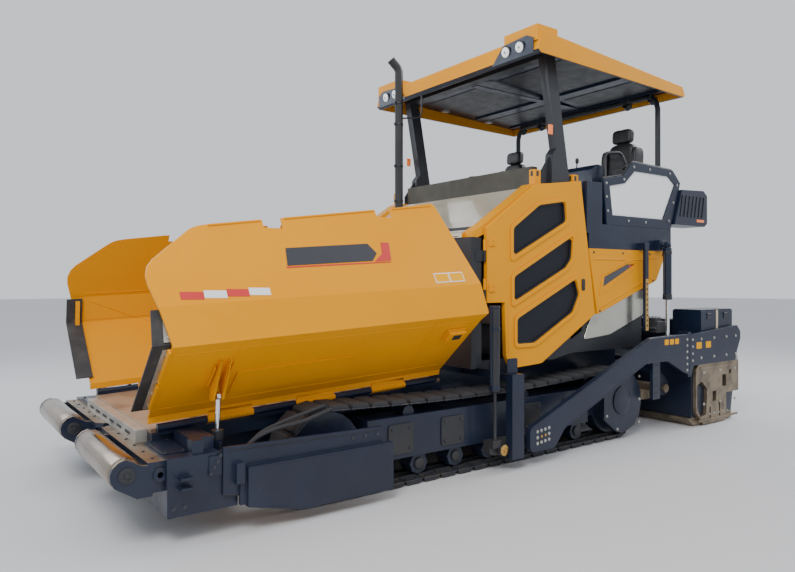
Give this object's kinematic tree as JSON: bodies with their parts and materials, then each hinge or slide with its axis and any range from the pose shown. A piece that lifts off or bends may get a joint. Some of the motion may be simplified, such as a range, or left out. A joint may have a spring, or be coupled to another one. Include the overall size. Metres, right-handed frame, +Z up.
{
  "type": "asphalt paver",
  "caption": "Tracked asphalt paver with folding hopper wings, push rollers, a canopied operator platform and a floating screed on tow arms.",
  "frame": {"origin": "on the ground under the middle of the machine, hopper wings folded up and screed down", "axes": "-Y is the direction of travel (hopper end), +Y the screed end, +X the machine's left side, +Z up"},
  "size_m": [3, 7.343, 4.2529],
  "materials": {
    "paint_yellow": "gloss yellow enamel",
    "paint_navy": "satin dark blue-grey enamel",
    "paint_grey": "satin dark grey enamel",
    "paint_silver": "metallic silver enamel",
    "worn_steel": "worn bare steel",
    "zinc_bar": "dull zinc",
    "floor_steel": "worn, rust-brown plate",
    "polished_roller": "polished with wear bands",
    "rod_chrome": "hard chrome",
    "track_rubber": "matt black pads",
    "engine_iron": "painted casting",
    "seat_leather": "black",
    "frosted_pane": "frosted white"
  },
  "bodies": {
    "chassis": {"apron_bar": "zinc_bar", "bulkhead": "paint_grey", "canopy_front_frame": "paint_grey", "canopy_rear_hoop": "paint_grey", "canopy_roof": "paint_yellow", "dash_parapet": "paint_grey", "engine_block": "engine_iron", "exhaust_stack": "paint_grey", "front_bumper": "paint_navy", "hood": "paint_silver", "hopper_floor": "floor_steel", "main_frame": "paint_navy", "platform_deck": "paint_navy", "rear_body": "paint_grey", "rear_panel_left": "paint_yellow", "rear_panel_right": "paint_yellow", "screen_frame_left": "paint_navy", "screen_frame_right": "paint_navy", "screen_pane_left": "frosted_pane", "screen_pane_right": "frosted_pane", "seat_left": "seat_leather", "seat_right": "seat_leather", "side_guard_left": "paint_navy", "side_guard_right": "paint_navy", "tow_barrel_left": "paint_navy", "tow_barrel_right": "paint_navy", "track_frame_left": "paint_navy", "track_frame_right": "paint_navy", "track_left": "track_rubber", "track_right": "track_rubber"},
    "push_roller_left": {"push_roller_left": "polished_roller"},
    "wing_left": {"hopper_wing_left": "paint_yellow"},
    "wing_barrel_left": {"wing_barrel_left": "paint_navy"},
    "wing_rod_left": {"wing_rod_left": "rod_chrome"},
    "door_left": {"side_door_left": "paint_yellow"},
    "auger_left": {"auger_left": "worn_steel"},
    "lift_barrel_left": {"lift_barrel_left": "paint_navy"},
    "lift_rod_left": {"lift_rod_left": "rod_chrome"},
    "push_roller_right": {"push_roller_right": "polished_roller"},
    "wing_right": {"hopper_wing_right": "paint_yellow"},
    "wing_barrel_right": {"wing_barrel_right": "paint_navy"},
    "wing_rod_right": {"wing_rod_right": "rod_chrome"},
    "door_right": {"side_door_right": "paint_yellow"},
    "auger_right": {"auger_right": "worn_steel"},
    "lift_barrel_right": {"lift_barrel_right": "paint_navy"},
    "lift_rod_right": {"lift_rod_right": "rod_chrome"},
    "tow_points": {"crosshead_left": "paint_navy", "crosshead_right": "paint_navy"},
    "screed": {"tow_arm_left": "paint_navy", "screed_side_beam_left": "paint_navy", "end_gate_left": "worn_steel", "tow_arm_right": "paint_navy", "screed_side_beam_right": "paint_navy", "end_gate_right": "worn_steel", "screed_frame": "paint_navy", "screed_plate": "worn_steel"}
  },
  "joints": [
    {"name": "wing_fold_left", "type": "hinge", "parent": "chassis", "child": "wing_left", "pos_m": [0.925, -3.3185, 0.672], "axis": [0, 0.9988, 0.049], "range_deg": [0, 38]},
    {"name": "wing_barrel_pivot_left", "type": "hinge", "parent": "chassis", "child": "wing_barrel_left", "pos_m": [1.165, -2.9135, 0.27], "axis": [0, 1, 0], "range_deg": [0, 10.29]},
    {"name": "wing_rod_slide_left", "type": "slide", "parent": "wing_barrel_left", "child": "wing_rod_left", "axis": [0.0159, 0, 0.9999], "range_m": [-0.1903, 0]},
    {"name": "push_roller_spin_left", "type": "hinge", "parent": "chassis", "child": "push_roller_left", "pos_m": [0.323, -3.5685, 0.495], "axis": [1, 0, 0], "continuous": true},
    {"name": "door_swing_left", "type": "hinge", "parent": "chassis", "child": "door_left", "pos_m": [1.23, -0.4145, 1.5], "axis": [0, 0, -1], "range_deg": [0, 80]},
    {"name": "auger_spin_left", "type": "hinge", "parent": "chassis", "child": "auger_left", "pos_m": [0, 2.4115, 0.45], "axis": [1, 0, 0], "continuous": true},
    {"name": "wing_fold_right", "type": "hinge", "parent": "chassis", "child": "wing_right", "pos_m": [-0.925, -3.3185, 0.672], "axis": [0, -0.9988, -0.049], "range_deg": [0, 38]},
    {"name": "wing_barrel_pivot_right", "type": "hinge", "parent": "chassis", "child": "wing_barrel_right", "pos_m": [-1.165, -2.9135, 0.27], "axis": [0, -1, 0], "range_deg": [0, 10.29]},
    {"name": "wing_rod_slide_right", "type": "slide", "parent": "wing_barrel_right", "child": "wing_rod_right", "axis": [-0.0159, 0, 0.9999], "range_m": [-0.1903, 0]},
    {"name": "push_roller_spin_right", "type": "hinge", "parent": "chassis", "child": "push_roller_right", "pos_m": [-0.323, -3.5685, 0.495], "axis": [1, 0, 0], "continuous": true},
    {"name": "door_swing_right", "type": "hinge", "parent": "chassis", "child": "door_right", "pos_m": [-1.23, -0.4145, 1.5], "axis": [0, 0, 1], "range_deg": [0, 80]},
    {"name": "auger_spin_right", "type": "hinge", "parent": "chassis", "child": "auger_right", "pos_m": [0, 2.4115, 0.45], "axis": [1, 0, 0], "continuous": true},
    {"name": "tow_points_slide", "type": "slide", "parent": "chassis", "child": "tow_points", "axis": [0, 0, 1], "range_m": [0, 0.25]},
    {"name": "screed_lift", "type": "hinge", "parent": "tow_points", "child": "screed", "pos_m": [0, 0.0315, 0.215], "axis": [1, 0, 0], "range_deg": [0, 7]},
    {"name": "lift_barrel_pivot_left", "type": "hinge", "parent": "chassis", "child": "lift_barrel_left", "pos_m": [1.38, 2.2715, 2.1], "axis": [1, 0, 0], "range_deg": [-7.73, 0]},
    {"name": "lift_rod_slide_left", "type": "slide", "parent": "lift_barrel_left", "child": "lift_rod_left", "axis": [0, 0, 1], "range_m": [0, 0.2601]},
    {"name": "lift_barrel_pivot_right", "type": "hinge", "parent": "chassis", "child": "lift_barrel_right", "pos_m": [-1.38, 2.2715, 2.1], "axis": [1, 0, 0], "range_deg": [-7.73, 0]},
    {"name": "lift_rod_slide_right", "type": "slide", "parent": "lift_barrel_right", "child": "lift_rod_right", "axis": [0, 0, 1], "range_m": [0, 0.2601]}
  ],
  "couplings": [
    {"joint": "wing_barrel_pivot_left", "follows": "wing_fold_left", "ratio": 0.26946},
    {"joint": "wing_rod_slide_left", "follows": "wing_fold_left", "m_per_rad": -0.28618},
    {"joint": "wing_barrel_pivot_right", "follows": "wing_fold_right", "ratio": 0.26946},
    {"joint": "wing_rod_slide_right", "follows": "wing_fold_right", "m_per_rad": -0.28618},
    {"joint": "lift_barrel_pivot_left", "follows": "screed_lift", "ratio": -1.0977},
    {"joint": "lift_rod_slide_left", "follows": "screed_lift", "m_per_rad": 2.1248},
    {"joint": "lift_barrel_pivot_right", "follows": "screed_lift", "ratio": -1.0977},
    {"joint": "lift_rod_slide_right", "follows": "screed_lift", "m_per_rad": 2.1248}
  ]
}
